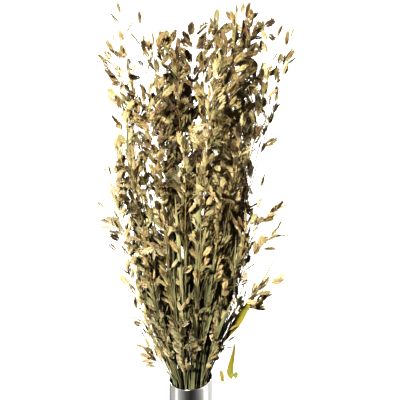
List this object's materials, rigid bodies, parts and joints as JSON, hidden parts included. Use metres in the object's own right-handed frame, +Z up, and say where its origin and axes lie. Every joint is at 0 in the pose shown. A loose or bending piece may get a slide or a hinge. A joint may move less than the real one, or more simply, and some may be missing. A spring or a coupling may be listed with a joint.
{
  "type": "dried northern sea oats in a metal vase",
  "caption": "Fan-shaped bunch of dried ornamental grass with flat, toothed spikelets and long leaf blades, standing in a straight polished metal vase with a slanting rolled rim.",
  "frame": {"origin": "middle of the vase's flat underside", "axes": "+Z up along the vase; -Y is the side seen first; +X is to its right"},
  "size_m": [0.3752, 0.2713, 0.9752],
  "materials": {
    "polished_steel": "polished, soft mirror",
    "dried_straw": "dry, matt to satin",
    "olive_leaf": "dry leaf, satin"
  },
  "bodies": {
    "root": {"broad_leaf": "olive_leaf", "culm_00": "dried_straw", "culm_01": "dried_straw", "culm_02": "dried_straw", "culm_03": "dried_straw", "culm_04": "dried_straw", "culm_05": "dried_straw", "culm_06": "dried_straw", "culm_07": "dried_straw", "culm_08": "dried_straw", "culm_09": "dried_straw", "culm_10": "dried_straw", "culm_11": "dried_straw", "culm_12": "dried_straw", "culm_13": "dried_straw", "culm_14": "dried_straw", "culm_15": "dried_straw", "culm_16": "dried_straw", "culm_17": "dried_straw", "culm_18": "dried_straw", "culm_19": "dried_straw", "culm_20": "dried_straw", "culm_21": "dried_straw", "culm_22": "dried_straw", "culm_23": "dried_straw", "culm_24": "dried_straw", "culm_25": "dried_straw", "culm_26": "dried_straw", "culm_27": "dried_straw", "culm_28": "dried_straw", "culm_29": "dried_straw", "culm_30": "dried_straw", "culm_31": "dried_straw", "culm_32": "dried_straw", "culm_33": "dried_straw", "culm_34": "dried_straw", "culm_35": "dried_straw", "culm_36": "dried_straw", "culm_37": "dried_straw", "culm_38": "dried_straw", "culm_39": "dried_straw", "culm_40": "dried_straw", "culm_41": "dried_straw", "culm_42": "dried_straw", "culm_43": "dried_straw", "culm_44": "dried_straw", "culm_45": "dried_straw", "culm_46": "dried_straw", "culm_47": "dried_straw", "culm_48": "dried_straw", "culm_49": "dried_straw", "culm_50": "dried_straw", "culm_51": "dried_straw", "vase": "polished_steel"}
  },
  "joints": []
}
